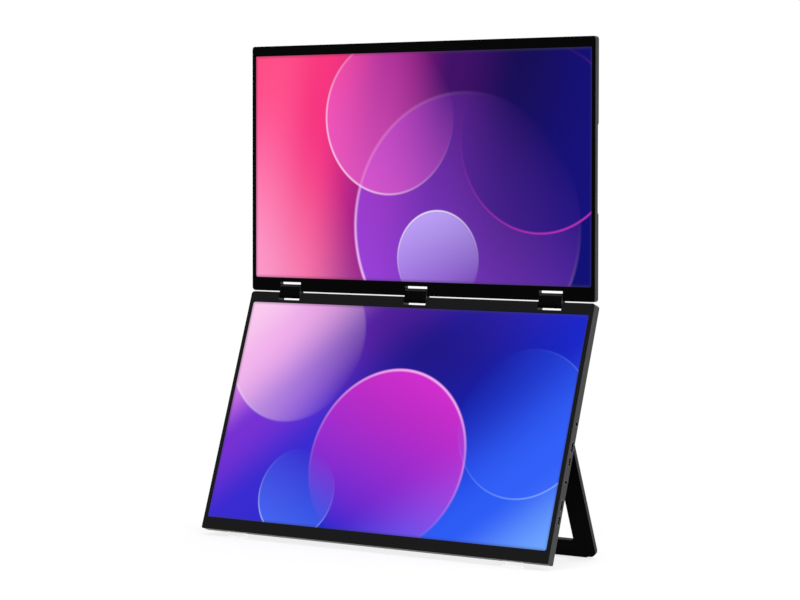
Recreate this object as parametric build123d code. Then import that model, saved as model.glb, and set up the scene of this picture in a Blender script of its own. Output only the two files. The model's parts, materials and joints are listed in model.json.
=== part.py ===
from build123d import *
import os
from math import cos, radians, sin

# Dual portable monitor: two screens joined by dual-axis hinges, with a folding stand behind the lower one.
# A panel is modelled upright in its own frame: X to the right, Y back from its front face, Z up.
# Lengths are in millimetres and angles in degrees.

# Pose: how far each screen leans back, and how far the stand is opened
lower_lean = 19.26
upper_lean = 0.0
stand_opening = 41.0

# Picture and front
picture_width = 409.6
picture_height = 230.4
side_bezel = 4.2
upper_top_bezel = 10.3
upper_extra_bezel = 1.4
lower_bottom_bezel = 12.3
corner_radius = 3.0
lower_bottom_corner = 1.2
window_radius = 2.4
window_top_radius = 0.8
front_edge_radius = 0.4
hinge_edge_radius = 1.1
back_edge_radius = 0.8

# Layers, front to back
frame_thickness = 1.2
cell_thickness = 0.8
backlight_thickness = 2.1
floor_thickness = 1.2
side_wall = 2.0
edge_wall = 1.2
cell_side_gap = 0.6
cell_edge_margin = 0.8
backlight_inset = 0.4
rib_width = 1.4
rib_side_margin = 79.0
rib_pitch = 65.0
rib_end_margin = 42.0
panel_board_side_margin = 119.0
panel_board_width = 10.0
panel_board_margin = 14.0
board_thickness = 0.8

# Finger reliefs in the upper cover's side edges
relief_length = 84.0
relief_depth = 1.9
relief_width = 2.0
relief_run_out = 2.5

# Dual-axis hinges
hinge_side_margin = 36.25
notch_width = 27.5
link_side_gap = 0.4
link_edge_chamfer = 0.3
link_crown = 0.45
closed_gap = 1.3
flat_gap = 2.55
hinge_lip = 0.45
axis_offset = 0.475
upper_notch_depth = 9.2
lower_notch_depth = 8.1
shaft_radius = 1.0
running_gap = 0.05
seat_gap = 0.02
shaft_hole_gap = 0.4
shaft_head_radius = 1.4
shaft_head_length = 0.4
washer_thickness = 0.5
ear_wall = 0.65
ear_thickness = 2.0
ear_gap = 0.3
ear_front_gap = 0.35
ear_overlap = 0.5
leaf_thickness = 0.6
leaf_height = 12.0
boss_height = 0.6
boss_radius = 2.2
screw_radius = 0.8
screw_head_radius = 1.6
screw_head_height = 0.35
screw_head_gap = 0.15
screw_skin = 0.6
screw_spread = 24.0
screw_rows = (3.2, 9.0)

# Ports in the lower cover's right side, one group for each screen
port_pitch = 56.6
first_jack = 136.5
hdmi_step = 22.4
hdmi_to_usb = 14.4
bay_gap = 0.1
port_gap = 0.15
port_recess = 0.2
jack_bore = 3.6
jack_wall = 0.9
jack_width = 6.4
jack_depth = 12.0
jack_bore_depth = 11.0
jack_nose_wall = 0.7
hdmi_width = 11.2
hdmi_height = 3.3
hdmi_corner = 1.0
hdmi_depth = 8.5
usb_width = 8.94
usb_height = 3.26
usb_depth = 8.0
port_shell = 0.33
port_back_wall = 1.2
tongue_thickness = 0.7
tongue_side_gap = 0.8
tongue_setback = 1.0
driver_board_length = 56.0
driver_board_spacing = 1.6
board_standoff = 0.4
board_boss_radius = 2.0
board_boss_margin = 4.0

# Buttons in the lower cover's left side, one group for each screen
power_step = 10.0
rocker_step = 29.0
power_length = 8.0
rocker_length = 16.0
button_gap = 0.35
button_proud = 0.4
flange_lip = 0.5
flange_side_gap = 0.3
flange_thickness = 0.6
flange_gap = 0.6
button_travel = 0.5
rocker_pin_radius = 0.6
rocker_pin_setback = 1.0
rocker_eye_wall = 0.7
rocker_eye_thickness = 1.2
switch_gap = 0.3
switch_length = 4.0
switch_width = 3.6
switch_height = 2.2
key_board_length = 12.0
key_board_margin = 8.0

# Speakers and their grilles
speaker_side_margin = 84.0
speaker_length = 46.0
speaker_width = 18.0
speaker_corner = 3.0
speaker_rise = 24.0
slot_count = 9
slot_pitch = 4.0
slot_width = 1.4
slot_length = 11.0

# Stand and feet
stand_inset = 4.0
stand_thickness = 4.6
leg_width = 22.3
bar_height = 16.7
stand_corner = 7.0
stand_window_corner = 3.0
stand_edge_radius = 0.5
pivot_height = 119.7
stand_back_gap = 0.3
pin_radius = 1.2
pin_reach = 14.0
bracket_gap = 0.3
bracket_ear = 4.0
bracket_length = 18.0
bracket_height = 20.0
bracket_base = 1.2
bracket_corner = 2.5
foot_height = 3.4
foot_length = 24.0
foot_width = 4.0
foot_margin = 30.0
foot_back_margin = 0.8
stand_foot_rise = 0.8
stand_foot_margin = 12.0
ground_depth = 10.0

# Worked out from the sizes above
panel_width = picture_width + 2 * side_bezel
half_width = panel_width / 2
wall_inside = half_width - side_wall
cell_side_margin = side_bezel - side_wall - cell_side_gap
outer_rib = half_width - rib_side_margin
rib_places = (-outer_rib, rib_pitch - outer_rib, outer_rib - rib_pitch, outer_rib)
panel_board_length = panel_width - 2 * panel_board_side_margin
speaker_place = half_width - speaker_side_margin
cell_back = frame_thickness + cell_thickness
bay_front = cell_back + backlight_thickness
upper_bay = boss_height + leaf_thickness + screw_head_height + screw_head_gap
lower_bay = jack_bore + 2 * jack_wall + 2 * bay_gap
button_height = lower_bay - 2 * (flange_lip + flange_side_gap)
upper_thickness = bay_front + upper_bay + floor_thickness
lower_thickness = bay_front + lower_bay + floor_thickness
bay_back = lower_thickness - floor_thickness
hinge_land = edge_wall + ear_gap + ear_overlap + ear_gap + cell_edge_margin
upper_bottom_bezel = upper_notch_depth + hinge_land + upper_extra_bezel
lower_top_bezel = lower_notch_depth + hinge_land
upper_height = upper_top_bezel + picture_height + upper_bottom_bezel
lower_height = lower_top_bezel + picture_height + lower_bottom_bezel
hinge_pitch = half_width - hinge_side_margin - notch_width / 2
hinge_places = (-hinge_pitch, 0.0, hinge_pitch)
ear_radius = shaft_radius + running_gap + ear_wall
axis_depth = frame_thickness + ear_front_gap + ear_radius
link_radius = axis_depth
axis_spacing = 2 * axis_depth + closed_gap
mean_axis_inset = (axis_spacing - flat_gap) / 2
upper_axis_inset = mean_axis_inset + axis_offset
lower_axis_inset = mean_axis_inset - axis_offset
ear_inside = notch_width / 2 + edge_wall + ear_gap
ear_outside = ear_inside + ear_thickness
washer_inside = ear_outside + running_gap
head_inside = washer_inside + washer_thickness
shaft_reach = head_inside + shaft_head_length
port_depth = bay_front + lower_bay / 2
board_back = bay_back - board_standoff
board_front = board_back - board_thickness
group_tops = (first_jack, first_jack - port_pitch)
usb_step = hdmi_step + hdmi_to_usb
driver_board_height = port_pitch - driver_board_spacing
flange_face = -wall_inside + flange_gap
flange_back = flange_face + flange_thickness
rocker_pivot = flange_back + rocker_pin_setback
leg_outside = half_width - stand_inset
leg_inside = leg_outside - leg_width
pivot_depth = lower_thickness + stand_back_gap + stand_thickness / 2


def slab(face, front, back):
    """Carry a face, drawn in X and Z, from one depth to another."""
    return extrude(Plane.XZ.offset(-front) * face, amount=back - front, dir=(0, 1, 0))


def along_x(face, left, right):
    """Carry a face, drawn in Y and Z, from one side to another."""
    return extrude(Plane.YZ.offset(left) * face, amount=right - left, dir=(1, 0, 0))


def block(left, right, front, back, low, high):
    centre = Pos((left + right) / 2, (front + back) / 2, (low + high) / 2)
    return centre * Box(right - left, back - front, high - low)


def upside_down(height):
    """Turn a piece made with its hinge edge down, so that the hinge edge is the panel's top."""
    return Pos(0, 0, height) * Rot(0, 180, 0)


def outline(height, notch_depth, end_corner, side, edge, lip=0.0):
    """Panel outline with three hinge notches in the edge at Z = 0, drawn in by its walls, out by its lip."""
    face = Pos(0, (height - lip) / 2) * Rectangle(panel_width - 2 * side, height + lip - 2 * edge)
    face = fillet(face.vertices().sort_by(Axis.Y)[:2], max(corner_radius - side, edge_wall))
    face = fillet(face.vertices().sort_by(Axis.Y)[-2:], max(end_corner - side, edge_wall))
    for place in hinge_places:
        face -= Pos(place, 0) * Rectangle(notch_width + 2 * edge, 2 * (notch_depth + edge))
    return face


def screw_places(notch_depth):
    leaf_low = notch_depth + edge_wall + ear_gap
    return [(place + side * screw_spread / 2, leaf_low + row)
            for place in hinge_places for side in (-1, 1) for row in screw_rows]


def rear_cover(height, thickness, notch_depth, axis_inset, end_corner):
    """Tray with ribs, screw bosses and room for the hinge brackets, hinge edge at Z = 0."""
    inside = thickness - floor_thickness
    cover = slab(outline(height, notch_depth, end_corner, 0, 0, hinge_lip), frame_thickness, thickness)
    cover = fillet(cover.faces().sort_by(Axis.Y)[-1].outer_wire().edges(), back_edge_radius)
    cover -= slab(outline(height, notch_depth, end_corner, side_wall, edge_wall), frame_thickness, inside)
    for place in rib_places:
        cover += block(place - rib_width / 2, place + rib_width / 2, bay_front, inside,
                       rib_end_margin, height - rib_end_margin)
    hole = Pos(axis_depth, axis_inset) * Circle(shaft_radius + shaft_hole_gap)
    slot_radius = ear_radius + ear_gap
    slot = Pos(axis_depth, axis_inset) * Circle(slot_radius)
    slot += Pos(axis_depth, 0) * Rectangle(2 * slot_radius, 2 * axis_inset)
    for place in hinge_places:
        cover -= along_x(hole, place - ear_inside, place + ear_inside)
        cover -= along_x(slot, place - shaft_reach - ear_gap, place - ear_inside + ear_gap)
        cover -= along_x(slot, place + ear_inside - ear_gap, place + shaft_reach + ear_gap)
    for across, up in screw_places(notch_depth):
        boss_top = inside - boss_height
        cover += slab(Pos(across, up) * Circle(boss_radius), boss_top, inside)
        cover -= slab(Pos(across, up) * Circle(screw_radius + seat_gap), boss_top, thickness - screw_skin)
    return cover


def front_frame(height, notch_depth, hinge_bezel, hinge_corner, far_corner, end_corner):
    """Flat bezel with the picture's window and a rounded hinge edge at Z = 0."""
    window = Pos(0, hinge_bezel + picture_height / 2) * Rectangle(picture_width, picture_height)
    window = fillet(window.vertices().sort_by(Axis.Y)[:2], hinge_corner)
    window = fillet(window.vertices().sort_by(Axis.Y)[-2:], far_corner)
    frame = slab(outline(height, notch_depth, end_corner, 0, 0) - window, 0, frame_thickness)
    frame = fillet(frame.faces().sort_by(Axis.Y)[0].edges(), front_edge_radius)
    radius = hinge_edge_radius
    corner = Pos(radius / 2, radius / 2) * Rectangle(radius, radius) - Pos(radius, radius) * Circle(radius)
    return frame - along_x(corner, -half_width, half_width)


def lcd_plate(hinge_bezel, inset, front, back):
    """Plate behind the picture, a little larger than it."""
    width = picture_width + 2 * (cell_side_margin - inset)
    height = picture_height + 2 * (cell_edge_margin - inset)
    return slab(Pos(0, hinge_bezel + picture_height / 2) * Rectangle(width, height), front, back)


def panel_board(height):
    """Long board on the back of the backlight, along the edge away from the hinge."""
    middle = height - panel_board_margin - panel_board_width / 2
    return slab(Pos(0, middle) * Rectangle(panel_board_length, panel_board_width),
                bay_front, bay_front + board_thickness)


def hinge_brackets(thickness, notch_depth, axis_inset):
    """Brackets with a screwed leaf and an ear on each side of a notch, hinge edge at Z = 0."""
    leaf_back = thickness - floor_thickness - boss_height
    leaf_low = notch_depth + edge_wall + ear_gap
    ear_high = leaf_low + ear_overlap
    ear = Pos(axis_depth, axis_inset) * Circle(ear_radius)
    ear_front = axis_depth - ear_radius
    ear += Pos((ear_front + leaf_back) / 2, (axis_inset + ear_high) / 2) * Rectangle(
        leaf_back - ear_front, ear_high - axis_inset)
    ear -= Pos(axis_depth, axis_inset) * Circle(shaft_radius + running_gap)
    brackets = []
    for place in hinge_places:
        bracket = block(place - ear_outside, place + ear_outside, leaf_back - leaf_thickness, leaf_back,
                        leaf_low, leaf_low + leaf_height)
        bracket += along_x(ear, place - ear_outside, place - ear_inside)
        bracket += along_x(ear, place + ear_inside, place + ear_outside)
        for across, up in screw_places(notch_depth):
            bracket -= slab(Pos(across, up) * Circle(screw_radius + seat_gap), 0, thickness)
        brackets.append(bracket)
    return brackets


def bracket_screws(thickness, notch_depth):
    leaf_back = thickness - floor_thickness - boss_height
    head_back = leaf_back - leaf_thickness
    screws = []
    for across, up in screw_places(notch_depth):
        screw = slab(Pos(across, up) * Circle(screw_head_radius), head_back - screw_head_height, head_back)
        screws.append(screw + slab(Pos(across, up) * Circle(screw_radius), head_back, thickness - screw_skin))
    return screws


def side_relief():
    """Sloped cut along the middle of the upper cover's side edge, for a fingertip."""
    low = (upper_height - relief_length) / 2
    high = low + relief_length
    front = upper_thickness - relief_depth
    slope = Polygon((half_width, front), (half_width + relief_width, front - relief_depth),
                    (half_width + relief_width, upper_thickness + relief_depth),
                    (half_width - 2 * relief_width, upper_thickness + relief_depth), align=None)
    slope = extrude(slope, amount=upper_height, dir=(0, 0, 1))
    ends = Polygon((front, low), (front, high), (upper_thickness, high + relief_run_out),
                   (upper_thickness, low - relief_run_out), align=None)
    return slope & along_x(ends, 0, panel_width)


def hdmi_profile(grow):
    """Socket mouth with two corners cut off, drawn in Y and Z about the port's centre."""
    across = hdmi_height / 2 + grow
    up = hdmi_width / 2 + grow
    return Polygon((-across, -up + hdmi_corner), (-across + hdmi_corner, -up), (across, -up), (across, up),
                   (-across + hdmi_corner, up), (-across, up - hdmi_corner), align=None)


def usb_profile(grow):
    """Round-ended socket mouth, drawn in Y and Z about the port's centre."""
    return Rot(0, 0, 90) * SlotOverall(usb_width + 2 * grow, usb_height + 2 * grow)


def socket(profile, width, depth, height):
    """Shell with a tongue inside, open towards +X, at a height on the lower panel."""
    mouth = half_width - port_recess
    back = mouth - depth
    spot = Pos(port_depth, height)
    shell = along_x(spot * profile(0), back, mouth)
    shell -= along_x(spot * profile(-port_shell), back + port_back_wall, mouth)
    tongue = spot * Rectangle(tongue_thickness, width - 2 * tongue_side_gap - 2 * port_shell)
    return shell + along_x(tongue, back + port_back_wall / 2, mouth - tongue_setback)


def audio_jack(height):
    """Slim jack with a round nose in the wall and a blind bore for the plug, open towards +X."""
    mouth = half_width - port_recess
    spot = Pos(port_depth, height)
    body = spot * Rectangle(jack_bore + 2 * jack_wall, jack_width)
    jack = along_x(body, mouth - jack_depth, wall_inside)
    jack += along_x(spot * Circle(jack_bore / 2 + jack_nose_wall), wall_inside, mouth)
    return jack - along_x(spot * Circle(jack_bore / 2), mouth - jack_bore_depth, mouth)


def driver_board(group_top):
    """Board behind one port group, notched for the sockets."""
    right = wall_inside - port_gap
    middle = group_top - usb_step / 2
    plate = Rectangle(driver_board_length, driver_board_height)
    board = slab(Pos(right - driver_board_length / 2, middle) * plate, board_front, board_back)
    for step, width, depth in ((0, jack_width, jack_depth), (hdmi_step, hdmi_width, hdmi_depth),
                               (usb_step, usb_width, usb_depth)):
        left = half_width - port_recess - depth - port_gap
        reach = width / 2 + port_gap
        low = group_top - step - reach
        board -= block(left, half_width, board_front, board_back, low, low + 2 * reach)
    return board


def board_bosses(group_top):
    right = wall_inside - port_gap
    middle = group_top - usb_step / 2
    left = right - driver_board_length
    lift = driver_board_height / 2 - board_boss_margin
    columns = (left + board_boss_margin, right - driver_board_length / 2)
    spots = [(column, middle + rise) for column in columns for rise in (-lift, lift)]
    return [slab(Pos(*spot) * Circle(board_boss_radius), board_back, bay_back) for spot in spots]


def button(length, height):
    """Round-ended cap through the left wall with a flange that keeps it in."""
    spot = Pos(port_depth, height) * Rot(0, 0, 90)
    cap = along_x(spot * SlotOverall(length, button_height), -half_width - button_proud, flange_face)
    flange = spot * SlotOverall(length + 2 * flange_lip, button_height + 2 * flange_lip)
    return cap + along_x(flange, flange_face, flange_back)


def menu_rocker(height):
    """Long cap with an eye behind its middle, which turns on a pin of the cover."""
    bore = rocker_pin_radius + running_gap
    radius = bore + rocker_eye_wall
    pivot = Pos(rocker_pivot, height)
    eye = pivot * Circle(radius)
    eye += Pos((flange_face + rocker_pivot) / 2, height) * Rectangle(rocker_pivot - flange_face, 2 * radius)
    front = port_depth - rocker_eye_thickness / 2
    rocker = button(rocker_length, height) + slab(eye, front, front + rocker_eye_thickness)
    return rocker - slab(pivot * Circle(bore), bay_front, bay_back)


def rocker_pin(height):
    return slab(Pos(rocker_pivot, height) * Circle(rocker_pin_radius), bay_front + flange_side_gap, bay_back)


def button_hole(length, height):
    spot = Pos(port_depth, height)
    hole = spot * Rot(0, 0, 90) * SlotOverall(length + 2 * button_gap, button_height + 2 * button_gap)
    return along_x(hole, -half_width, -wall_inside)


def key_board():
    """Board along the left wall with a switch behind the power button and two behind each rocker."""
    left = flange_back + button_travel + switch_gap
    low = group_tops[1] - rocker_step - rocker_length / 2 - key_board_margin
    high = group_tops[0] - power_step + power_length / 2 + key_board_margin
    board = block(left, left + key_board_length, board_front, board_back, low, high)
    for group_top in group_tops:
        rocker = group_top - rocker_step
        throw = rocker_length / 2 - switch_width / 2
        for spot in (group_top - power_step, rocker - throw, rocker + throw):
            board += block(left, left + switch_length, board_front - switch_height, board_front,
                           spot - switch_width / 2, spot + switch_width / 2)
        notch = rocker_pin_radius + ear_gap
        board -= block(left, rocker_pivot + notch, board_front, board_back, rocker - notch, rocker + notch)
    return board


def speaker(side):
    """Flat speaker box behind its grille."""
    face = RectangleRounded(speaker_length, speaker_width, speaker_corner)
    return slab(Pos(side * speaker_place, speaker_rise) * face, bay_front + bay_gap, bay_back - bay_gap)


def grille(side):
    slots = []
    for index in range(slot_count):
        across = side * speaker_place + (index - (slot_count - 1) / 2) * slot_pitch
        face = Pos(across, speaker_rise) * Rot(0, 0, 90) * SlotOverall(slot_length, slot_width)
        slots.append(slab(face, bay_back, lower_thickness))
    return slots


def lower_cover():
    """The lower tray with its port and button holes, board bosses and speaker grilles."""
    cover = rear_cover(lower_height, lower_thickness, lower_notch_depth, lower_axis_inset,
                       lower_bottom_corner)
    cover = upside_down(lower_height) * cover
    for group_top in group_tops:
        jack_hole = Circle(jack_bore / 2 + jack_nose_wall + port_gap)
        holes = ((0, jack_hole), (hdmi_step, hdmi_profile(port_gap)), (usb_step, usb_profile(port_gap)))
        for step, hole in holes:
            cover -= along_x(Pos(port_depth, group_top - step) * hole, wall_inside, half_width)
        cover -= button_hole(power_length, group_top - power_step)
        cover -= button_hole(rocker_length, group_top - rocker_step)
        cover += rocker_pin(group_top - rocker_step)
        cover += board_bosses(group_top)
    for side in (-1, 1):
        cover -= grille(side)
    return cover


def hinge_link():
    """Link with two shaft bores, its lower axis at the origin and its upper axis above."""
    half_length = notch_width / 2 - link_side_gap
    span = axis_spacing + link_crown
    face = Pos(0, span / 2) * Rot(0, 0, 90) * SlotCenterToCenter(span, 2 * link_radius)
    link = along_x(face, -half_length, half_length)
    ends = link.faces().sort_by(Axis.X)
    link = chamfer(ends[0].edges() + ends[-1].edges(), link_edge_chamfer)
    for height in (0, axis_spacing):
        link -= along_x(Pos(0, height) * Circle(shaft_radius + seat_gap), -half_length, half_length)
    return link


def hinge_shafts(height):
    """Shafts with a riveted head at each end."""
    spot = Pos(0, height)
    shafts = []
    for place in hinge_places:
        shaft = along_x(spot * Circle(shaft_radius), place - shaft_reach, place + shaft_reach)
        shaft += along_x(spot * Circle(shaft_head_radius), place - shaft_reach, place - head_inside)
        shaft += along_x(spot * Circle(shaft_head_radius), place + head_inside, place + shaft_reach)
        shafts.append(shaft)
    return shafts


def hinge_washers(height):
    """Spring washers between each ear and the shaft's head."""
    ring = Pos(0, height) * (Circle(ear_radius) - Circle(shaft_radius + seat_gap))
    return [along_x(ring, place + near, place + near + washer_thickness)
            for place in hinge_places for near in (-head_inside, washer_inside)]


def stand_brackets():
    """Bases on the back of the lower cover with an ear inside each leg of the stand."""
    brackets = []
    ear = Pos(pivot_depth, pivot_height) * Circle(stand_thickness / 2)
    root = (lower_thickness + pivot_depth) / 2
    ear += Pos(root, pivot_height) * Rectangle(pivot_depth - lower_thickness, stand_thickness)
    ear -= Pos(pivot_depth, pivot_height) * Circle(pin_radius + seat_gap)
    outside = leg_inside - bracket_gap
    for side in (-1, 1):
        near, far = sorted((side * outside, side * (outside - bracket_ear)))
        left, right = sorted((side * outside, side * (outside - bracket_length)))
        bracket = along_x(ear, near, far)
        base = RectangleRounded(right - left, bracket_height, bracket_corner)
        base = Pos((left + right) / 2, pivot_height) * base
        bracket += slab(base, lower_thickness, lower_thickness + bracket_base)
        bracket -= along_x(Pos(pivot_depth, pivot_height) * Circle(pin_radius + seat_gap), left, right)
        brackets.append(bracket)
    return brackets


def stand_pins():
    pins = []
    for side in (-1, 1):
        ends = (side * (leg_inside - bracket_gap - bracket_ear), side * (leg_inside + pin_reach))
        pins.append(along_x(Pos(pivot_depth, pivot_height) * Circle(pin_radius), min(ends), max(ends)))
    return pins


def stand_frame(length):
    """Two legs and a bar in one piece, hanging from the pivot axis at the origin."""
    half = stand_thickness / 2
    face = Pos(0, -length / 2) * Rectangle(2 * leg_outside, length)
    face = fillet(face.vertices().sort_by(Axis.Y)[:2], stand_corner)
    window = Pos(0, (bar_height - length) / 2) * Rectangle(2 * leg_inside, length - bar_height)
    window = fillet(window.vertices().sort_by(Axis.Y)[:2], stand_window_corner)
    frame = slab(face - window, -half, half)
    faces = frame.faces().sort_by(Axis.Y)
    rims = [edge for edge in faces[0].edges() + faces[-1].edges() if edge.center().Z < -stand_edge_radius]
    frame = fillet(rims, stand_edge_radius)
    for side in (-1, 1):
        left, right = sorted((side * leg_inside, side * leg_outside))
        frame += along_x(Circle(half), left, right)
    for side in (-1, 1):
        ends = (side * leg_inside, side * (leg_inside + pin_reach + bracket_gap))
        frame -= along_x(Circle(pin_radius + running_gap), min(ends), max(ends))
    return frame


def above_ground(shape):
    reach = panel_width
    return shape - block(-reach, reach, -reach, reach, -reach, 0)


# Places of the moving groups, worked out up the chain from the ground
ground_lift = foot_height + lower_thickness * sin(radians(lower_lean))
lower_place = Pos(0, 0, ground_lift) * Rot(-lower_lean, 0, 0)
lower_axis = (lower_place * Pos(0, axis_depth, lower_height - lower_axis_inset)).position
link_place = Pos(*lower_axis) * Rot(-(lower_lean + upper_lean) / 2, 0, 0)
upper_axis = (link_place * Pos(0, 0, axis_spacing)).position
upper_place = Pos(*upper_axis) * Rot(-upper_lean, 0, 0) * Pos(0, -axis_depth, -upper_axis_inset)
stand_axis = (lower_place * Pos(0, pivot_depth, pivot_height)).position
stand_lean = stand_opening - lower_lean
stand_place = Pos(*stand_axis) * Rot(stand_lean, 0, 0)
corner_drop = stand_thickness / 2 * sin(radians(stand_lean))
stand_length = (stand_axis.Z - corner_drop - stand_foot_rise) / cos(radians(stand_lean))

upper_pieces = {
    "upper_rear_cover": rear_cover(upper_height, upper_thickness, upper_notch_depth, upper_axis_inset,
                                   corner_radius)
    - side_relief() - mirror(side_relief(), about=Plane.YZ),
    "upper_front_frame": front_frame(upper_height, upper_notch_depth, upper_bottom_bezel,
                                     window_radius, window_top_radius, corner_radius),
    "upper_lcd_panel": lcd_plate(upper_bottom_bezel, 0, frame_thickness, cell_back),
    "upper_backlight": lcd_plate(upper_bottom_bezel, backlight_inset, cell_back, bay_front),
    "upper_panel_board": panel_board(upper_height),
    "upper_hinge_brackets": hinge_brackets(upper_thickness, upper_notch_depth, upper_axis_inset),
    "upper_bracket_screws": bracket_screws(upper_thickness, upper_notch_depth),
}

turned = upside_down(lower_height)
lower_pieces = {
    "lower_rear_cover": lower_cover(),
    "lower_front_frame": turned * front_frame(lower_height, lower_notch_depth, lower_top_bezel,
                                              window_radius, window_radius, lower_bottom_corner),
    "lower_lcd_panel": turned * lcd_plate(lower_top_bezel, 0, frame_thickness, cell_back),
    "lower_backlight": turned * lcd_plate(lower_top_bezel, backlight_inset, cell_back, bay_front),
    "lower_panel_board": turned * panel_board(lower_height),
    "lower_hinge_brackets": [turned * bracket for bracket in
                             hinge_brackets(lower_thickness, lower_notch_depth, lower_axis_inset)],
    "lower_bracket_screws": [turned * screw for screw in bracket_screws(lower_thickness, lower_notch_depth)],
    "key_board": key_board(),
    "speaker_left": speaker(-1),
    "speaker_right": speaker(1),
    "stand_brackets": stand_brackets(),
    "stand_pins": stand_pins(),
}
for number, group_top in enumerate(group_tops, start=1):
    lower_pieces[f"audio_jack_{number}"] = audio_jack(group_top)
    lower_pieces[f"mini_hdmi_{number}"] = socket(hdmi_profile, hdmi_width, hdmi_depth, group_top - hdmi_step)
    lower_pieces[f"usb_c_{number}"] = socket(usb_profile, usb_width, usb_depth, group_top - usb_step)
    lower_pieces[f"driver_board_{number}"] = driver_board(group_top)
    lower_pieces[f"power_button_{number}"] = button(power_length, group_top - power_step)
    lower_pieces[f"menu_rocker_{number}"] = menu_rocker(group_top - rocker_step)

link_pieces = {
    "upper_hinge_shafts": hinge_shafts(axis_spacing),
    "lower_hinge_shafts": hinge_shafts(0),
    "upper_hinge_washers": hinge_washers(axis_spacing),
    "lower_hinge_washers": hinge_washers(0),
}
for name, place in zip(("left", "centre", "right"), hinge_places):
    link_pieces[f"hinge_link_{name}"] = Pos(place, 0, 0) * hinge_link()

stand_pieces = {"stand_frame": stand_frame(stand_length)}

pieces = {}
for place, group in ((lower_place, lower_pieces), (link_place, link_pieces),
                     (upper_place, upper_pieces), (stand_place, stand_pieces)):
    for name, shape in group.items():
        solids = shape if isinstance(shape, list) else [shape]
        pieces[name] = [solid for item in solids for solid in (place * item).solids()]

# Rubber feet, cut level with the ground
foot_back = lower_thickness - foot_back_margin
lower_feet = []
for side in (-1, 1):
    left, right = sorted((side * (half_width - foot_margin), side * (half_width - foot_margin - foot_length)))
    lower_feet.append(block(left, right, foot_back - foot_width, foot_back, -ground_depth, 0))
pieces["lower_feet"] = [above_ground(lower_place * foot).solid() for foot in lower_feet]
stand_strip = block(-leg_outside + stand_foot_margin, leg_outside - stand_foot_margin, -stand_thickness / 2,
                    stand_thickness / 2, -stand_length - ground_depth, -stand_length)
pieces["stand_foot"] = [above_ground(stand_place * stand_strip).solid()]

# The origin is on the ground under the middle of the whole
whole = Compound([solid for solids in pieces.values() for solid in solids]).bounding_box()
middle = Pos(0, -(whole.min.Y + whole.max.Y) / 2, 0)

os.makedirs("parts", exist_ok=True)
for name, solids in pieces.items():
    export_step(Compound([middle * solid for solid in solids]), f"parts/{name}.step")

for name, axis in (("lower_hinge", lower_axis), ("upper_hinge", upper_axis), ("stand_hinge", stand_axis)):
    print(name, tuple(round(value, 4) for value in (middle * Pos(*axis)).position))
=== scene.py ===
import json
import math
import bmesh
import bpy
import numpy as np
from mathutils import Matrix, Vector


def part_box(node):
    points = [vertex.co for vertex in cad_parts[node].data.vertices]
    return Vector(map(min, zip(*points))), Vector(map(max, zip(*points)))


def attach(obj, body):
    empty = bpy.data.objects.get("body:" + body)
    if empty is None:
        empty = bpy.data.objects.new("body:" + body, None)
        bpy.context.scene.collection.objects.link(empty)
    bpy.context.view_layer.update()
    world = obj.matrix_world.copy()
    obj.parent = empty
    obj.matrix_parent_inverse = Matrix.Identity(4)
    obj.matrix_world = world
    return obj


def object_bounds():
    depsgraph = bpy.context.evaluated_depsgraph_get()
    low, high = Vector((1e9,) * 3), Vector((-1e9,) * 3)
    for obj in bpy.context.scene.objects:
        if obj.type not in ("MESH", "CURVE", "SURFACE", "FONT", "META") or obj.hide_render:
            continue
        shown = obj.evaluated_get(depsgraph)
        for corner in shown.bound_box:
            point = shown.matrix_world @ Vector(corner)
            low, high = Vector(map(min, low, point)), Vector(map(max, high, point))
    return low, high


# Dual portable monitor: finishes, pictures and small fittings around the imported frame. Metres throughout.

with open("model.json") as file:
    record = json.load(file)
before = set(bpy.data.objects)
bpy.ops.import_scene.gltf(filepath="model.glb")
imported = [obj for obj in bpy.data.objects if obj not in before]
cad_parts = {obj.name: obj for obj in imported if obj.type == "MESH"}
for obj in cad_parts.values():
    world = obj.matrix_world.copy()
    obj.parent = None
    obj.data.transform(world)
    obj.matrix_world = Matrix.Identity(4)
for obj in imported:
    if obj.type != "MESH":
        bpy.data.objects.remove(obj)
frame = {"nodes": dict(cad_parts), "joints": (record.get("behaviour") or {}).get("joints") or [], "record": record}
cadLow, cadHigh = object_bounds()
nodes = frame["nodes"]
joints = {joint["name"]: joint for joint in frame["joints"]}
mounts = {mount["name"]: mount for mount in frame["record"]["mounts"]}
mm = 0.001
wholeTurn = 2 * math.pi
alongX = (1.0, 0.0, 0.0)
alongY = (0.0, 1.0, 0.0)
print("frame loaded:", len(nodes), "nodes")


# Places: the lower screen leans back, so its fittings are worked out upright and then turned

rockAxis = joints["menu_rock_1"]["axis"]
lowerLean = math.atan2(-rockAxis[2], rockAxis[1])


def turnX(points, angle):  # turn about X: y' = y cos - z sin, z' = y sin + z cos
    c, s = math.cos(angle), math.sin(angle)
    return np.asarray(points, float) @ np.array([[1, 0, 0], [0, c, s], [0, -s, c]])


def uprightBox(name, lean):  # lowest and highest corner of a node after its panel is turned upright
    mesh = nodes[name].data
    flat = np.empty(len(mesh.vertices) * 3, np.float32)
    mesh.vertices.foreach_get("co", flat)
    points = turnX(flat.reshape(-1, 3), lean)
    return points.min(0), points.max(0)


def addObject(name, data):
    made = bpy.data.objects.new(name, data)
    bpy.context.scene.collection.objects.link(made)
    return made


# Colours and node helpers

white = (1.0, 1.0, 1.0, 1.0)
black = (0.0, 0.0, 0.0, 1.0)


def paint(red, green, blue):  # screen levels 0-255 to linear: ((c + 0.055) / 1.055) ^ 2.4
    levels = np.array([red, green, blue]) / 255
    line = np.where(levels > 0.04045, ((levels + 0.055) / 1.055) ** 2.4, levels / 12.92)
    return (*line.tolist(), 1.0)


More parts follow.
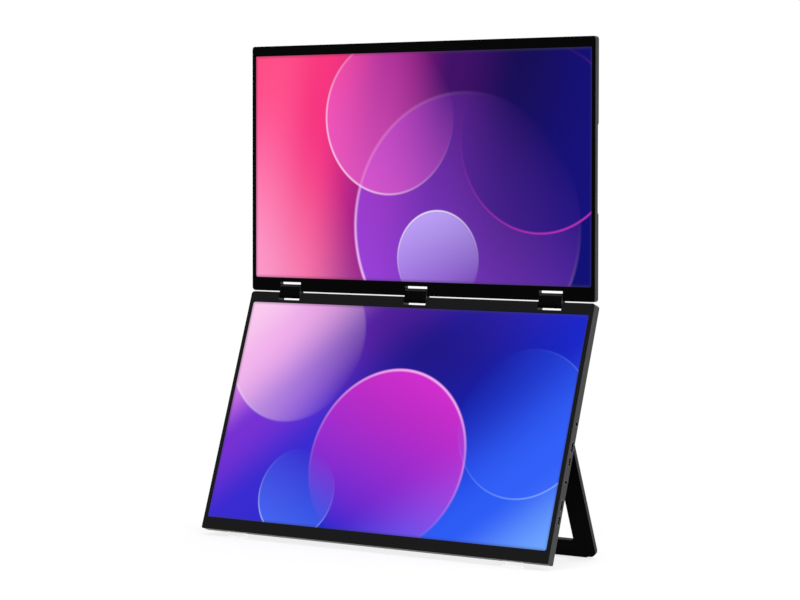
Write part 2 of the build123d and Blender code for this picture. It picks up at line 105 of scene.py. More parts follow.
def addNode(tree, kind, sockets=None, **options):  # sockets: a value is typed in, another socket is linked
    made = tree.nodes.new(kind)
    for key, value in options.items():
        setattr(made, key, value)
    for key, value in (sockets or {}).items():
        if isinstance(value, bpy.types.NodeSocket):
            tree.links.new(value, made.inputs[key])
        else:
            made.inputs[key].default_value = value
    return made


def calc(tree, operation, *values, **options):
    return addNode(tree, "ShaderNodeMath", dict(enumerate(values)), operation=operation, **options).outputs[0]


def vectorCalc(tree, operation, *values):  # dot products and lengths give a value, the others a vector
    made = addNode(tree, "ShaderNodeVectorMath", dict(enumerate(values)), operation=operation)
    return made.outputs["Value" if operation in ("DOT_PRODUCT", "LENGTH") else "Vector"]


def shadeBy(tree, colour, factor):
    made = addNode(tree, "ShaderNodeVectorMath", {0: colour, "Scale": factor}, operation="SCALE")
    return made.outputs["Vector"]


def remap(tree, value, noneAt, fullAt, full=1.0, easing="LINEAR"):  # 0 at noneAt, full at fullAt, clamped
    made = addNode(tree, "ShaderNodeMapRange", {0: value, 1: noneAt, 2: fullAt, 4: full},
                   interpolation_type=easing)
    return made.outputs[0]


def mixColour(tree, factor, first, second):
    return addNode(tree, "ShaderNodeMix", {0: factor, 6: first, 7: second}, data_type="RGBA").outputs[2]


def noise(tree, place, scale, detail):
    return addNode(tree, "ShaderNodeTexNoise", {"Vector": place, "Scale": scale, "Detail": detail}).outputs[0]


def swing(tree, value, amount):  # noise runs from 0 to 1, so this swings about 0
    return calc(tree, "MULTIPLY", calc(tree, "SUBTRACT", value, 0.5), amount)


def startGroup(name, inputs, outputs):
    tree = bpy.data.node_groups.new(name, "ShaderNodeTree")
    for label, kind in inputs:
        tree.interface.new_socket(label, in_out="INPUT", socket_type="NodeSocket" + kind)
    for label, kind in outputs:
        tree.interface.new_socket(label, in_out="OUTPUT", socket_type="NodeSocket" + kind)
    return tree, tree.nodes.new("NodeGroupInput").outputs, tree.nodes.new("NodeGroupOutput").inputs


def startMaterial(name):
    material = bpy.data.materials.new(name)
    material.use_nodes = True
    tree = material.node_tree
    place = addNode(tree, "ShaderNodeTexCoord").outputs
    return material, tree, tree.nodes["Principled BSDF"].inputs, place


def useGroup(tree, group, sockets):
    return addNode(tree, "ShaderNodeGroup", sockets, node_tree=group).outputs


# Satin grain: fine noise for tone and bump, wide noise for patches of handled gloss

grainNoise = {"fineDetail": 2.0, "wideScale": 14.0, "wideDetail": 4.0}


def buildGrain():
    tree, given, out = startGroup(
        "satinGrain",
        [("Place", "Vector"), ("Colour", "Color"), ("Scale", "Float"), ("Tone", "Float"),
         ("Rough", "Float"), ("Patches", "Float")],
        [("Colour", "Color"), ("Rough", "Float"), ("Height", "Float")])
    fine = noise(tree, given["Place"], given["Scale"], grainNoise["fineDetail"])
    wide = noise(tree, given["Place"], grainNoise["wideScale"], grainNoise["wideDetail"])
    tone = calc(tree, "ADD", swing(tree, fine, given["Tone"]), 1.0)
    tree.links.new(shadeBy(tree, given["Colour"], tone), out["Colour"])
    tree.links.new(calc(tree, "ADD", given["Rough"], swing(tree, wide, given["Patches"])), out["Rough"])
    tree.links.new(fine, out["Height"])
    return tree


# Drawn lines: noise stretched along one axis, as on brushed or rolled metal

drawnNoise = {"detail": 3.0, "roughSwing": 0.3}


def buildDrawn():
    tree, given, out = startGroup(
        "drawnLines",
        [("Place", "Vector"), ("Colour", "Color"), ("Stretch", "Vector"), ("Tone", "Float"),
         ("Rough", "Float")],
        [("Colour", "Color"), ("Rough", "Float"), ("Height", "Float")])
    stretched = vectorCalc(tree, "MULTIPLY", given["Place"], given["Stretch"])
    lines = noise(tree, stretched, 1.0, drawnNoise["detail"])
    tone = calc(tree, "ADD", swing(tree, lines, given["Tone"]), 1.0)
    rough = calc(tree, "ADD", given["Rough"], swing(tree, lines, drawnNoise["roughSwing"]))
    tree.links.new(shadeBy(tree, given["Colour"], tone), out["Colour"])
    tree.links.new(rough, out["Rough"])
    tree.links.new(lines, out["Height"])
    return tree


# Tint: a second colour by how far the surface faces along an axis, past a distance from the middle. Below it
# mostly paints light and shade by which way a face looks.
# Side 1 or -1 keeps it to faces that look along the axis or against it, and 0 to both.

sideSlack = 0.001  # lets Side 0 through


def buildEdgeTint():
    tree, given, out = startGroup(
        "edgeTint",
        [("Place", "Vector"), ("Normal", "Vector"), ("Axis", "Vector"), ("None at", "Float"),
         ("Full at", "Float"), ("Side", "Float"), ("Past", "Float"), ("Under", "Color"), ("Tint", "Color")],
        [("Colour", "Color")])
    facing = vectorCalc(tree, "DOT_PRODUCT", given["Normal"], given["Axis"])
    share = remap(tree, calc(tree, "ABSOLUTE", facing), given["None at"], given["Full at"],
                  easing="SMOOTHSTEP")
    ownSide = calc(tree, "GREATER_THAN", calc(tree, "MULTIPLY", facing, given["Side"]), -sideSlack)
    across = addNode(tree, "ShaderNodeSeparateXYZ", {0: given["Place"]}).outputs[0]
    outer = calc(tree, "GREATER_THAN", calc(tree, "ABSOLUTE", across), given["Past"])
    cover = calc(tree, "MULTIPLY", share, calc(tree, "MULTIPLY", ownSide, outer))
    tree.links.new(mixColour(tree, cover, given["Under"], given["Tint"]), out["Colour"])
    return tree


# Soft disc: a round patch over a picture, shaded across its width, with a thin bright rim

def buildDisc():
    tree, given, out = startGroup(
        "softDisc",
        [("Place", "Vector"), ("Under", "Color"), ("Centre", "Vector"), ("Radius", "Float"),
         ("Soft", "Float"), ("Lean", "Vector"), ("Fill", "Color"), ("Strength", "Float"), ("Rim", "Color"),
         ("Rim width", "Float"), ("Rim strength", "Float")],
        [("Colour", "Color")])
    arm = vectorCalc(tree, "SUBTRACT", given["Place"], given["Centre"])
    reach = vectorCalc(tree, "LENGTH", arm)
    inside = remap(tree, reach, calc(tree, "ADD", given["Radius"], given["Soft"]),
                   calc(tree, "SUBTRACT", given["Radius"], given["Soft"]), easing="SMOOTHSTEP")
    share = calc(tree, "DIVIDE", vectorCalc(tree, "DOT_PRODUCT", arm, given["Lean"]), given["Radius"])
    shade = calc(tree, "MULTIPLY_ADD", share, 0.5, 0.5, use_clamp=True)  # 0 at one side, 1 at the other
    fill = calc(tree, "MULTIPLY", calc(tree, "MULTIPLY", inside, shade), given["Strength"])
    filled = mixColour(tree, fill, given["Under"], given["Fill"])
    off = calc(tree, "ABSOLUTE", calc(tree, "SUBTRACT", reach, given["Radius"]))
    ring = remap(tree, off, given["Rim width"], 0.0, easing="SMOOTHSTEP")
    lit = calc(tree, "MULTIPLY", calc(tree, "MULTIPLY", ring, calc(tree, "MULTIPLY", shade, shade)),
               given["Rim strength"])
    tree.links.new(mixColour(tree, lit, filled, given["Rim"]), out["Colour"])
    return tree


# Soft border: a picture greys towards its four edges, painted shade of the bezel's edge over bright parts and
# painted haze over dark ones

def buildBorder():
    tree, given, out = startGroup(
        "softBorder",
        [("Place", "Vector"), ("Under", "Color"), ("Width", "Float"), ("Reach", "Float"),
         ("Strength", "Float"), ("Border", "Color")],
        [("Colour", "Color")])
    split = addNode(tree, "ShaderNodeSeparateXYZ", {0: given["Place"]}).outputs
    fromSide = calc(tree, "MINIMUM", split[0], calc(tree, "SUBTRACT", given["Width"], split[0]))
    fromEdge = calc(tree, "MINIMUM", split[2], calc(tree, "SUBTRACT", 1.0, split[2]))
    share = remap(tree, calc(tree, "MINIMUM", fromSide, fromEdge), given["Reach"], 0.0, given["Strength"])
    tree.links.new(mixColour(tree, share, given["Under"], given["Border"]), out["Colour"])
    return tree


satinGrain = buildGrain()
drawnLines = buildDrawn()
edgeTint = buildEdgeTint()
softDisc = buildDisc()
softBorder = buildBorder()
print("node groups built")


# Finishes for the moulded and metal pieces; several paint light and shade by which way a face looks

def tintedColour(tree, place, look):
    colour = look["colour"]
    for tint in look.get("tints", []):
        colour = useGroup(tree, edgeTint, {
            "Place": place["Object"], "Normal": place["Normal"], "Axis": tint["axis"],
            "None at": tint["noneAt"], "Full at": tint["fullAt"], "Side": tint.get("side", 0.0),
            "Past": tint.get("past", 0.0), "Under": colour, "Tint": tint["colour"]})["Colour"]
    return colour


def useGrain(tree, place, colour, look):
    return useGroup(tree, satinGrain, {
        "Place": place["Object"], "Colour": colour, "Scale": look["scale"], "Tone": look["tone"],
        "Rough": look["rough"], "Patches": look["patches"]})


def wireSurface(tree, shader, made, height, look, **options):  # colour, roughness and bump into the shader
    bump = addNode(tree, "ShaderNodeBump", {"Height": height, "Strength": look["bump"],
                                            "Distance": look["depth"]}, **options)
    tree.links.new(made["Colour"], shader["Base Color"])
    tree.links.new(made["Rough"], shader["Roughness"])
    tree.links.new(bump.outputs[0], shader["Normal"])


def grainMaterial(name, look):
    material, tree, shader, place = startMaterial(name)
    grain = useGrain(tree, place, tintedColour(tree, place, look), look)
    wireSurface(tree, shader, grain, grain["Height"], look)
    shader["Transmission Weight"].default_value = look.get("clear", 0.0)
    shader["IOR"].default_value = look.get("bend", 1.5)
    shader["Specular IOR Level"].default_value = look.get("specular", 0.5)
    return material


def drawnMaterial(name, look):
    material, tree, shader, place = startMaterial(name)
    lines = useGroup(tree, drawnLines, {
        "Place": place["Object"], "Colour": tintedColour(tree, place, look), "Stretch": look["stretch"],
        "Tone": look["tone"], "Rough": look["rough"]})
    wireSurface(tree, shader, lines, lines["Height"], look)
    shader["Metallic"].default_value = look["metal"]
    return material


standDrop = np.array(mounts["rest_stand_foot"]["pos_m"]) - np.array(joints["stand_hinge"]["pos_m"])
standFace = tuple(np.array([0.0, -standDrop[2], standDrop[1]]) / math.hypot(standDrop[1], standDrop[2]))
linkFront = (0.0, -0.94, -0.342)  # forward and a little down, from which the links' painted highlight and lit sides are measured
socketMouth = mounts["usb_c_1"]["pos_m"][0]

finishes = {
    "coverMetal": grainMaterial("coverMetal", {
        "colour": paint(41, 41, 42), "scale": 2600.0, "tone": 0.28, "rough": 0.42, "patches": 0.07,
        "bump": 0.25, "depth": 0.04 * mm, "specular": 0.35}),
    "upperBezel": grainMaterial("upperBezel", {
        "colour": paint(6, 6, 7), "scale": 3200.0, "tone": 0.3, "rough": 0.5, "patches": 0.1,
        "bump": 0.15, "depth": 0.03 * mm, "specular": 0.01,
        "tints": [{"colour": paint(72, 72, 73), "axis": alongY, "noneAt": 0.55, "fullAt": 0.3,
                   "past": cadHigh[0] - 0.6 * mm}]}),  # outer side walls, painted lighter grey as lit by the side light
    "lowerBezel": grainMaterial("lowerBezel", {
        "colour": paint(27, 27, 28), "scale": 3200.0, "tone": 0.3, "rough": 0.5, "patches": 0.1,
        "bump": 0.15, "depth": 0.03 * mm, "specular": 0.02}),
    "linkCover": grainMaterial("linkCover", {
        "colour": paint(5, 5, 6), "scale": 3000.0, "tone": 0.3, "rough": 0.35, "patches": 0.1,
        "bump": 0.1, "depth": 0.02 * mm, "specular": 0.01,
        # Painted highlight: grey on the links' top rounding, back to the base dark on faces square to linkFront;
        # the ±X sides painted lighter as lit by the side light
        "tints": [{"colour": paint(50, 50, 50), "axis": linkFront, "noneAt": 0.82, "fullAt": 0.74},
                  {"colour": paint(5, 5, 6), "axis": linkFront, "noneAt": 0.3, "fullAt": 0.2},
                  {"colour": paint(94, 95, 94), "axis": alongX, "noneAt": 0.72, "fullAt": 0.95}]}),
    "standMetal": grainMaterial("standMetal", {
        # Near-black base colour: painted shade on the inner face, which sits under the lower screen
        "colour": paint(9, 9, 10), "scale": 2200.0, "tone": 0.25, "rough": 0.5, "patches": 0.12,
        "bump": 0.2, "depth": 0.04 * mm, "specular": 0.02,
        "tints": [{"colour": paint(76, 76, 78), "axis": standFace, "noneAt": 0.8, "fullAt": 0.4},
                  {"colour": paint(58, 58, 60), "axis": standFace, "noneAt": 0.8, "fullAt": 0.95,
                   "side": 1.0}]}),  # cut edges painted lighter as lit by the lamps, then the outer face in the metal's own dark grey
    "button": grainMaterial("button", {
        "colour": paint(72, 72, 74), "scale": 3000.0, "tone": 0.2, "rough": 0.42, "patches": 0.1,
        "bump": 0.15, "depth": 0.03 * mm, "specular": 0.2}),
    "jackPlastic": grainMaterial("jackPlastic", {
        "colour": paint(10, 10, 11), "scale": 3000.0, "tone": 0.2, "rough": 0.35, "patches": 0.08,
        "bump": 0.1, "depth": 0.02 * mm, "specular": 0.2,
        # Outward faces painted light grey: a painted highlight round each jack mouth and on the rims
        "tints": [{"colour": paint(132, 132, 134), "axis": alongX, "noneAt": 0.7, "fullAt": 0.95}]}),
    "rubber": grainMaterial("rubber", {
        "colour": paint(20, 20, 21), "scale": 1500.0, "tone": 0.4, "rough": 0.85, "patches": 0.1,
        "bump": 0.6, "depth": 0.1 * mm, "specular": 0.1}),
    "clearRubber": grainMaterial("clearRubber", {
        "colour": paint(253, 253, 253), "scale": 1200.0, "tone": 0.02, "rough": 0.05, "patches": 0.02,
        "bump": 0.0, "depth": 0.02 * mm, "specular": 0.3, "clear": 1.0, "bend": 1.2}),
    "whiteFilm": grainMaterial("whiteFilm", {
        "colour": paint(226, 226, 224), "scale": 900.0, "tone": 0.05, "rough": 0.5, "patches": 0.1,
        "bump": 0.05, "depth": 0.02 * mm}),
    "steel": drawnMaterial("steel", {
        "colour": paint(152, 153, 156), "stretch": (120.0, 2400.0, 2400.0), "tone": 0.2, "rough": 0.36,
        "bump": 0.1, "depth": 0.03 * mm, "metal": 1.0}),
    "socketShell": drawnMaterial("socketShell", {
        "colour": paint(40, 40, 41), "stretch": (4000.0, 300.0, 4000.0), "tone": 0.25, "rough": 0.3,
        "bump": 0.1, "depth": 0.03 * mm, "metal": 1.0,
        "tints": [{"colour": paint(150, 151, 154), "axis": alongX, "noneAt": 0.7, "fullAt": 0.95,
                   "past": socketMouth - 0.3 * mm}]}),  # metal's own brightness round the mouth; the dark base colour inside is painted shade in the socket
    "contactGold": drawnMaterial("contactGold", {
        "colour": paint(222, 180, 98), "stretch": (400.0, 5000.0, 5000.0), "tone": 0.2, "rough": 0.25,
        "bump": 0.05, "depth": 0.03 * mm, "metal": 1.0}),
}
print("finishes made:", len(finishes))


# Circuit boards: green mask with paler copper tracks under it, from the edges of a cell pattern

board = {"cells": 260.0, "track": 0.08, "mask": paint(20, 84, 50), "copper": paint(52, 128, 74),
         "scale": 2000.0, "tone": 0.15, "rough": 0.38, "patches": 0.1, "bump": 0.3, "depth": 0.03 * mm}


def boardMaterial():
    material, tree, shader, place = startMaterial("board")
    cells = addNode(tree, "ShaderNodeTexVoronoi", {"Vector": place["Object"], "Scale": board["cells"]},
                    distance="MANHATTAN", feature="DISTANCE_TO_EDGE").outputs[0]
    track = remap(tree, cells, board["track"], 0.0)
    grain = useGrain(tree, place, mixColour(tree, track, board["mask"], board["copper"]), board)
    wireSurface(tree, shader, grain, track, board)
    return material


# Speaker mesh: round holes in rows, seen through the grille slots

speaker = {"holes": 1100.0, "edge": 0.42, "open": 0.3, "wire": paint(46, 46, 48), "dark": paint(4, 4, 4),
           "scale": 2500.0, "tone": 0.2, "rough": 0.5, "patches": 0.1, "bump": 0.8, "depth": 0.2 * mm}


def speakerMaterial():
    material, tree, shader, place = startMaterial("speakerMesh")
    dots = addNode(tree, "ShaderNodeTexVoronoi", {"Vector": place["Object"], "Scale": speaker["holes"],
                                                  "Randomness": 0.0}).outputs["Distance"]
    hole = remap(tree, dots, speaker["edge"], speaker["open"], easing="SMOOTHSTEP")
    grain = useGrain(tree, place, mixColour(tree, hole, speaker["wire"], speaker["dark"]), speaker)
    wireSurface(tree, shader, grain, hole, speaker, invert=True)
    return material


finishes["board"] = boardMaterial()
finishes["speakerMesh"] = speakerMaterial()


# Pictures: a diagonal sweep of colour with soft round discs over it, in units of the picture's height

cellMargin = {"side": 1.6 * mm, "edge": 0.8 * mm}  # how far the cell reaches past the picture
# The grey that the picture's edges are drawn to: painted bezel shade and painted haze
pictureBorder = {"reach": 0.013, "strength": 0.5, "colour": (58, 56, 62)}
film = {"glow": 1.0, "colour": (1, 1, 1), "rough": 0.55, "specular": 0.01}
noRim = {"rim": (0, 0, 0), "rimWidth": 0.01, "rimStrength": 0.0}

upperPicture = {
    "sweepAngle": -10.0, "sweepFrom": -0.06, "sweepTo": 1.66,
    "stops": [(0.0, (255, 88, 152)), (0.16, (246, 52, 130)), (0.36, (158, 30, 138)), (0.56, (64, 14, 104)),
              (0.76, (22, 10, 84)), (1.0, (14, 14, 118))],
    "discs": [
        {"centre": (0.12, -0.04), "radius": 0.5, "soft": 0.45, "angle": 200, "fill": (250, 190, 236),
         "strength": 0.95},
        {"centre": (0.16, 1.02), "radius": 0.44, "soft": 0.34, "angle": 130, "fill": (255, 60, 108),
         "strength": 0.8},
        {"centre": (1.14, 0.24), "radius": 0.58, "soft": 0.012, "angle": 222, "fill": (150, 70, 232),
         "strength": 0.8, "rim": (244, 190, 255), "rimWidth": 0.012, "rimStrength": 0.95},
        {"centre": (0.74, 0.72), "radius": 0.34, "soft": 0.01, "angle": 215, "fill": (236, 96, 206),
         "strength": 0.7, "rim": (255, 214, 246), "rimWidth": 0.008, "rimStrength": 0.8},
        {"centre": (1.52, 0.62), "radius": 0.4, "soft": 0.012, "angle": 300, "fill": (24, 16, 124),
         "strength": 0.6, "rim": (190, 52, 186), "rimWidth": 0.008, "rimStrength": 0.9},
        {"centre": (1.0, 0.1), "radius": 0.21, "soft": 0.01, "angle": 110, "fill": (196, 172, 255),
         "strength": 0.85, "rim": (255, 240, 255), "rimWidth": 0.006, "rimStrength": 0.8},
    ]}
lowerPicture = {
    "sweepAngle": -50.0, "sweepFrom": -0.78, "sweepTo": 1.16,
    "stops": [(0.0, (250, 204, 240)), (0.13, (224, 130, 230)), (0.27, (118, 48, 212)), (0.42, (56, 42, 208)),
              (0.62, (26, 40, 208)), (0.82, (44, 92, 246)), (1.0, (112, 166, 255))],
    "discs": [
        {"centre": (1.06, 1.1), "radius": 0.54, "soft": 0.4, "angle": 260, "fill": (8, 2, 84),
         "strength": 1.0},
        {"centre": (0.3, 0.82), "radius": 0.36, "soft": 0.012, "angle": 150, "fill": (252, 204, 240),
         "strength": 0.85, "rim": (255, 244, 255), "rimWidth": 0.01, "rimStrength": 0.9},
        {"centre": (0.9, 0.32), "radius": 0.4, "soft": 0.01, "angle": 70, "fill": (214, 46, 208),
         "strength": 0.95, "rim": (255, 176, 250), "rimWidth": 0.01, "rimStrength": 0.95},
        {"centre": (1.56, 0.52), "radius": 0.32, "soft": 0.01, "angle": 320, "fill": (52, 98, 250),
         "strength": 0.7, "rim": (140, 180, 255), "rimWidth": 0.006, "rimStrength": 0.8},
        {"centre": (0.46, 0.14), "radius": 0.2, "soft": 0.01, "angle": 250, "fill": (74, 112, 250),
         "strength": 0.8, "rim": (186, 200, 255), "rimWidth": 0.006, "rimStrength": 0.8},
    ]}


def pictureMaterial(name, node, lean, look):
    material, tree, shader, place = startMaterial(name)
    low, high = uprightBox(node, lean)
    height = high[2] - low[2] - 2 * cellMargin["edge"]
    width = (high[0] - low[0] - 2 * cellMargin["side"]) / height
    corner = np.array([low[0] + cellMargin["side"], low[1], low[2] + cellMargin["edge"]])
    mapped = addNode(tree, "ShaderNodeMapping", {
        "Vector": place["Object"], "Location": tuple(-corner / height), "Rotation": (lean, 0.0, 0.0),
        "Scale": (1 / height,) * 3})
    spot = vectorCalc(tree, "MULTIPLY", mapped.outputs[0], (1.0, 0.0, 1.0))
    angle = math.radians(look["sweepAngle"])
    along = vectorCalc(tree, "DOT_PRODUCT", spot, (math.cos(angle), 0.0, math.sin(angle)))
    ramp = addNode(tree, "ShaderNodeValToRGB", {0: remap(tree, along, look["sweepFrom"], look["sweepTo"])})
    ramp.color_ramp.interpolation = "EASE"
    stops = ramp.color_ramp.elements
    while len(stops) < len(look["stops"]):
        stops.new(1.0)
    for stop, (position, colour) in zip(stops, look["stops"]):
        stop.position = position
        stop.color = paint(*colour)
    picture = ramp.outputs[0]
    for disc in look["discs"]:
        disc = {**noRim, **disc}
        turn = math.radians(disc["angle"])
        x, z = disc["centre"]
        picture = useGroup(tree, softDisc, {
            "Place": spot, "Under": picture, "Centre": (x, 0.0, z), "Radius": disc["radius"],
            "Soft": disc["soft"], "Lean": (math.cos(turn), 0.0, math.sin(turn)),
            "Fill": paint(*disc["fill"]), "Strength": disc["strength"], "Rim": paint(*disc["rim"]),
            "Rim width": disc["rimWidth"], "Rim strength": disc["rimStrength"]})["Colour"]
    picture = useGroup(tree, softBorder, {
        "Place": spot, "Under": picture, "Width": width, "Reach": pictureBorder["reach"],
        "Strength": pictureBorder["strength"], "Border": paint(*pictureBorder["colour"])})["Colour"]
    tree.links.new(picture, shader["Emission Color"])
    shader["Emission Strength"].default_value = film["glow"]
    shader["Base Color"].default_value = paint(*film["colour"])
    shader["Roughness"].default_value = film["rough"]
    shader["Specular IOR Level"].default_value = film["specular"]
    return material


finishes["upperPicture"] = pictureMaterial("upperPicture", "upper_lcd_panel", 0.0, upperPicture)
finishes["lowerPicture"] = pictureMaterial("lowerPicture", "lower_lcd_panel", lowerLean, lowerPicture)
print("pictures made")


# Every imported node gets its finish

nodeFinish = {
    "coverMetal": ["upper_rear_cover", "lower_rear_cover"],
    "upperBezel": ["upper_front_frame"],
    "lowerBezel": ["lower_front_frame"],
    "upperPicture": ["upper_lcd_panel"],
    "lowerPicture": ["lower_lcd_panel"],
    "whiteFilm": ["upper_backlight", "lower_backlight"],
    "linkCover": ["hinge_link_left", "hinge_link_centre", "hinge_link_right"],
    "standMetal": ["stand_frame"],
    "button": ["power_button_1", "power_button_2", "menu_rocker_1", "menu_rocker_2"],
    "jackPlastic": ["audio_jack_1", "audio_jack_2"],
    "socketShell": ["mini_hdmi_1", "mini_hdmi_2", "usb_c_1", "usb_c_2"],
    "rubber": ["stand_foot"],
    "clearRubber": ["lower_feet"],
    "board": ["driver_board_1", "driver_board_2", "key_board", "upper_panel_board", "lower_panel_board"],
    "speakerMesh": ["speaker_left", "speaker_right"],
}
dressed = {name: finish for finish, names in nodeFinish.items() for name in names}
for name, node in nodes.items():
    node.data.materials.clear()
    node.data.materials.append(finishes[dressed.get(name, "steel")])  # hinge hardware and pins are steel
print("nodes dressed:", len(dressed), "and", len(nodes) - len(dressed), "in steel")


# Small fittings of the lower screen: grids of two parameters, repeated at each place on the panel

panelUp = [0.0, math.sin(lowerLean), math.cos(lowerLean)]
panelAxes = np.array([alongX, rockAxis, panelUp])  # right, back, up
mergeWithin = 1e-7  # closes poles and seams
sharpOver = 40  # degrees


def gridPiece(name, grids, finish):  # grids: copies x rows x columns x 3, each row closed on itself
    copies, rows, columns, _ = grids.shape
    index = np.arange(copies * rows * columns).reshape(copies, rows, columns)
    after = np.roll(index, -1, axis=2)
    faces = np.stack([index[:, :-1], after[:, :-1], after[:, 1:], index[:, 1:]], axis=-1).reshape(-1, 4)
    mesh = bpy.data.meshes.new(name)
    mesh.from_pydata(grids.reshape(-1, 3).tolist(), [], faces.tolist())
    shape = bmesh.new()
    shape.from_mesh(mesh)
    bmesh.ops.remove_doubles(shape, verts=shape.verts, dist=mergeWithin)
    bmesh.ops.recalc_face_normals(shape, faces=shape.faces)
    shape.to_mesh(mesh)
    shape.free()
    mesh.shade_smooth()
    mesh.set_sharp_from_angle(angle=math.radians(sharpOver))
    mesh.materials.append(finishes[finish])
    piece = addObject(name, mesh)
    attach(piece, "lower_screen")


def onPanel(origins, shape):  # one shape in right, back, up set at each origin
    return np.asarray(origins, float)[:, None, None, :] + shape @ panelAxes


def roundTurn(steps):
    return np.linspace(0, wholeTurn, steps, endpoint=False)


# Screws of the stand's brackets: a domed head with a hexagon recess.
# Hexagon: r = a / cos(t mod 60 - 30). Dome: r = h + (R - h) sin s, height = rim + (top - rim) cos s.

screw = {"radius": 2.3 * mm, "top": 1.2 * mm, "rim": 0.3 * mm, "hexagon": 0.75 * mm, "recess": 0.35 * mm,
         "recessTaper": 0.97, "inFromEnd": 11.0 * mm, "apart": 12.0 * mm, "base": 1.2 * mm, "steps": 48,
         "domeSteps": 7}


def makeScrews():
    turn = roundTurn(screw["steps"])
    hexagon = screw["hexagon"] / np.cos(turn % (math.pi / 3) - math.pi / 6)
    bend = np.linspace(0, math.pi / 2, screw["domeSteps"])[1:, None]
    dome = hexagon + (screw["radius"] - hexagon) * np.sin(bend)
    domeHeight = screw["rim"] + (screw["top"] - screw["rim"]) * np.cos(bend) + 0 * hexagon
    flat = np.zeros_like(turn)
    floor = flat + screw["recess"]
    radius = np.vstack([flat, hexagon * screw["recessTaper"], hexagon, dome, flat + screw["radius"], flat])
    height = np.vstack([floor, floor, flat + screw["top"], domeHeight, flat, flat])
    shape = np.stack([radius * np.cos(turn), height, radius * np.sin(turn)], axis=-1)
    low, high = uprightBox("stand_brackets", lowerLean)
    pivot = (low[2] + high[2]) / 2
    across = (high[0] - screw["inFromEnd"]) * np.array([-1, -1, 1, 1])
    up = pivot + screw["apart"] / 2 * np.array([-1, 1, -1, 1])
    spots = np.stack([across, np.full_like(up, low[1] + screw["base"]), up], axis=-1)
    gridPiece("standScrews", onPanel(turnX(spots, -lowerLean), shape), "steel")


# Contacts on the sockets' tongues: a bar with flat ends.
# Its section is a superellipse, (back / a)^4 + (up / b)^4 = 1.

contacts = {"usb_c": {"counts": (12, 12), "pitch": 0.5 * mm, "width": 0.26 * mm, "length": 3.6 * mm},
            "mini_hdmi": {"counts": (10, 9), "pitch": 0.8 * mm, "width": 0.36 * mm, "length": 4.2 * mm}}
contactBar = {"height": 0.06 * mm, "steps": 12, "along": (0.0, 0.0, 0.08, 0.92, 1.0, 1.0),
              "swell": (0.0, 0.7, 1.0, 1.0, 0.7, 0.0)}  # shares of the length and of the full section
tongue = {"thickness": 0.7 * mm, "setback": 1.25 * mm}


def signedRoot(values):
    return np.sign(values) * np.sqrt(np.abs(values))


def makeContacts(kind, number):
    look = contacts[kind]
    turn = roundTurn(contactBar["steps"])
    back = contactBar["height"] / 2 * signedRoot(np.cos(turn))
    up = look["width"] / 2 * signedRoot(np.sin(turn))
    along = -tongue["setback"] - look["length"] * np.array(contactBar["along"])[:, None]
    swell = np.array(contactBar["swell"])[:, None]
    shape = np.stack([along + 0 * turn, swell * back, swell * up], axis=-1)
    rows = [np.stack([np.zeros(count), np.full(count, side * tongue["thickness"] / 2),
                      (np.arange(count) - (count - 1) / 2) * look["pitch"]], axis=-1)
            for side, count in zip((-1, 1), look["counts"])]
    mouth = np.array(mounts[f"{kind}_{number}"]["pos_m"])
    bars = onPanel(mouth + np.concatenate(rows) @ panelAxes, shape)
    gridPiece(f"{kind}_contacts_{number}", bars, "contactGold")


# Rims of the audio jacks: a ring of elliptical section, r = R + a cos t, out = b sin t, half sunk in the nose

jackRim = {"radius": 2.12 * mm, "wide": 0.22 * mm, "proud": 0.12 * mm, "steps": 48, "sectionSteps": 13}


def makeJackRim(number):
    turn = roundTurn(jackRim["steps"])
    section = np.linspace(0, wholeTurn, jackRim["sectionSteps"])[:, None]
    radius = jackRim["radius"] + jackRim["wide"] * np.cos(section)
    out = jackRim["proud"] * np.sin(section) + 0 * turn
    shape = np.stack([out, radius * np.cos(turn), radius * np.sin(turn)], axis=-1)
    bore = mounts[f"audio_jack_{number}"]
    mouth = np.array(bore["pos_m"]) + np.array([bore["dims"]["length_mm"] / 2 * mm, 0.0, 0.0])
    gridPiece(f"jack_rim_{number}", onPanel([mouth], shape), "jackPlastic")


makeScrews()
for number in (1, 2):
    makeContacts("usb_c", number)
    makeContacts("mini_hdmi", number)
    makeJackRim(number)
print("small fittings made")


# Stage: pale floor, soft lamps, white surroundings for what the lens, gloss and glass see

stage = {"floorHalf": 6.0, "floorShade": 0.3, "floorGlow": 0.74, "floorRough": 0.9, "fadeFrom": 0.3,
         "fadeTo": 0.75, "surround": 0.4}


def greyOf(level):
    return (level, level, level, 1.0)


def seenDirectly(tree):  # 1 for camera, glossy and transmission rays
    path = addNode(tree, "ShaderNodeLightPath").outputs
    seen = calc(tree, "MAXIMUM", path["Is Camera Ray"], path["Is Glossy Ray"])
    return calc(tree, "MAXIMUM", seen, path["Is Transmission Ray"])


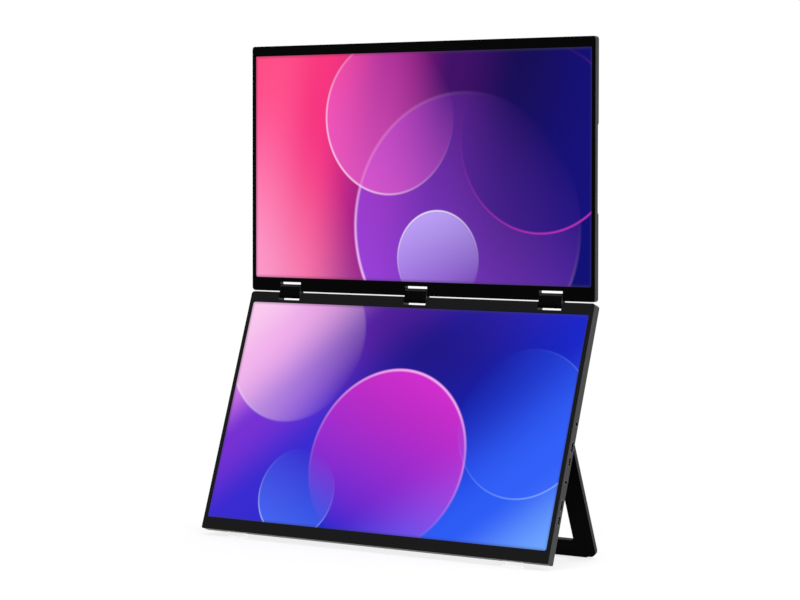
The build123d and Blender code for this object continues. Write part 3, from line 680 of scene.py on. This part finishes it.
def makeFloor():
    half = stage["floorHalf"]
    corners = [(-half, -half, 0), (half, -half, 0), (half, half, 0), (-half, half, 0)]
    mesh = bpy.data.meshes.new("floor")
    mesh.from_pydata(corners, [], [(0, 1, 2, 3)])
    floor = addObject("floor", mesh)
    material, tree, shader, place = startMaterial("paleFloor")
    reach = vectorCalc(tree, "LENGTH", place["Object"])
    near = remap(tree, reach, stage["fadeTo"], stage["fadeFrom"], easing="SMOOTHSTEP")  # 1 round the object
    shade = mixColour(tree, near, black, greyOf(stage["floorShade"]))
    glow = calc(tree, "MULTIPLY_ADD", near, stage["floorGlow"] - 1.0, 1.0)  # far off only white is left
    tree.links.new(shade, shader["Base Color"])
    tree.links.new(calc(tree, "MULTIPLY", seenDirectly(tree), glow), shader["Emission Strength"])
    shader["Emission Color"].default_value = white
    shader["Roughness"].default_value = stage["floorRough"]
    shader["Specular IOR Level"].default_value = 0.0
    mesh.materials.append(material)


def makeSurround():
    world = bpy.data.worlds.new("studio")
    world.use_nodes = True
    bpy.context.scene.world = world
    tree = world.node_tree
    light = addNode(tree, "ShaderNodeBackground", {"Color": greyOf(stage["surround"]), "Strength": 1.0})
    plain = addNode(tree, "ShaderNodeBackground", {"Color": white, "Strength": 1.0})
    both = addNode(tree, "ShaderNodeMixShader", {0: seenDirectly(tree), 1: light.outputs[0],
                                                 2: plain.outputs[0]})
    tree.links.new(both.outputs[0], tree.nodes["World Output"].inputs["Surface"])


lamps = [
    {"name": "sideLamp", "place": (2.2, -0.5, 1.1), "size": 1.6, "power": 26.0},
    {"name": "frontLamp", "place": (-0.9, -2.2, 1.6), "size": 1.8, "power": 26.0},
    {"name": "topLamp", "place": (0.2, 0.6, 2.4), "size": 1.8, "power": 26.0},
]


def makeLamps():
    middle = (cadLow + cadHigh) / 2
    for lamp in lamps:
        data = bpy.data.lights.new(lamp["name"], "AREA")
        data.energy = lamp["power"]
        data.size = lamp["size"]
        made = addObject(lamp["name"], data)
        made.location = lamp["place"]
        made.rotation_euler = (middle - made.location).to_track_quat("-Z", "Y").to_euler()


camera = {"from": (1.4816, -2.1215, -0.1150), "pitch": -1.57, "roll": -0.07, "yaw": 35.28, "lens": 116.17,
          "sensor": 36.0, "shiftUp": -0.0781}  # from: seen from the middle of the upper picture's top edge


def makeCamera():
    data = bpy.data.cameras.new("camera")
    data.sensor_width = camera["sensor"]
    data.lens = camera["lens"]
    data.shift_y = camera["shiftUp"]
    made = addObject("camera", data)
    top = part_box("upper_lcd_panel")[1][2] - cellMargin["edge"]
    made.location = np.array([0.0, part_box("upper_front_frame")[0][1], top]) + camera["from"]
    made.rotation_euler = [math.radians(a) for a in (90 + camera["pitch"], camera["roll"], camera["yaw"])]
    bpy.context.scene.camera = made


makeFloor()
makeSurround()
makeLamps()
makeCamera()
bpy.context.scene.view_settings.view_transform = "Standard"
print("stage set")
